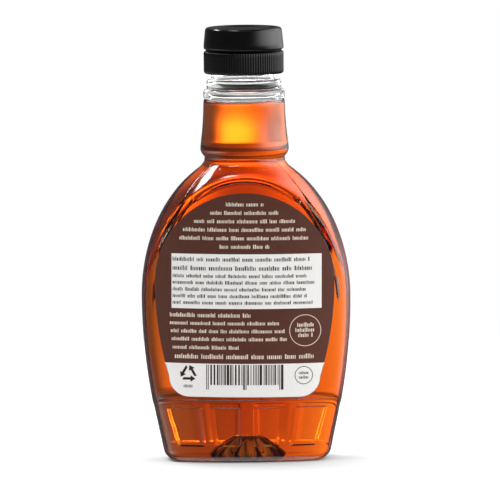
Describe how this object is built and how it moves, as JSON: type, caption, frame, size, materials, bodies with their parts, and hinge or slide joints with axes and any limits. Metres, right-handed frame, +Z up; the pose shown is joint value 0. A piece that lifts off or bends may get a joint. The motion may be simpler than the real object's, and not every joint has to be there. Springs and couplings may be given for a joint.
{
  "type": "plastic maple syrup bottle",
  "caption": "Flat clear plastic flask of amber syrup with an arched label on each wide face, a ringed neck and a black ribbed cap.",
  "frame": {"origin": "centre of the bottle's footprint on the surface it stands on", "axes": "+Z up through the cap; +X across the wide face to the viewer's right; the label seen in the picture faces -Y"},
  "size_m": [0.0892, 0.0456, 0.185],
  "materials": {
    "clear_pet": "clear blown PET, glossy",
    "syrup": "clear dark amber liquid",
    "label": "satin brown film with white fields",
    "cap": "black moulded polypropylene"
  },
  "bodies": {
    "root": {"bottle": "clear_pet", "syrup": "syrup", "label_back": "label", "label_front": "label", "cap_base": "cap", "cap_lid": "cap"}
  },
  "joints": []
}
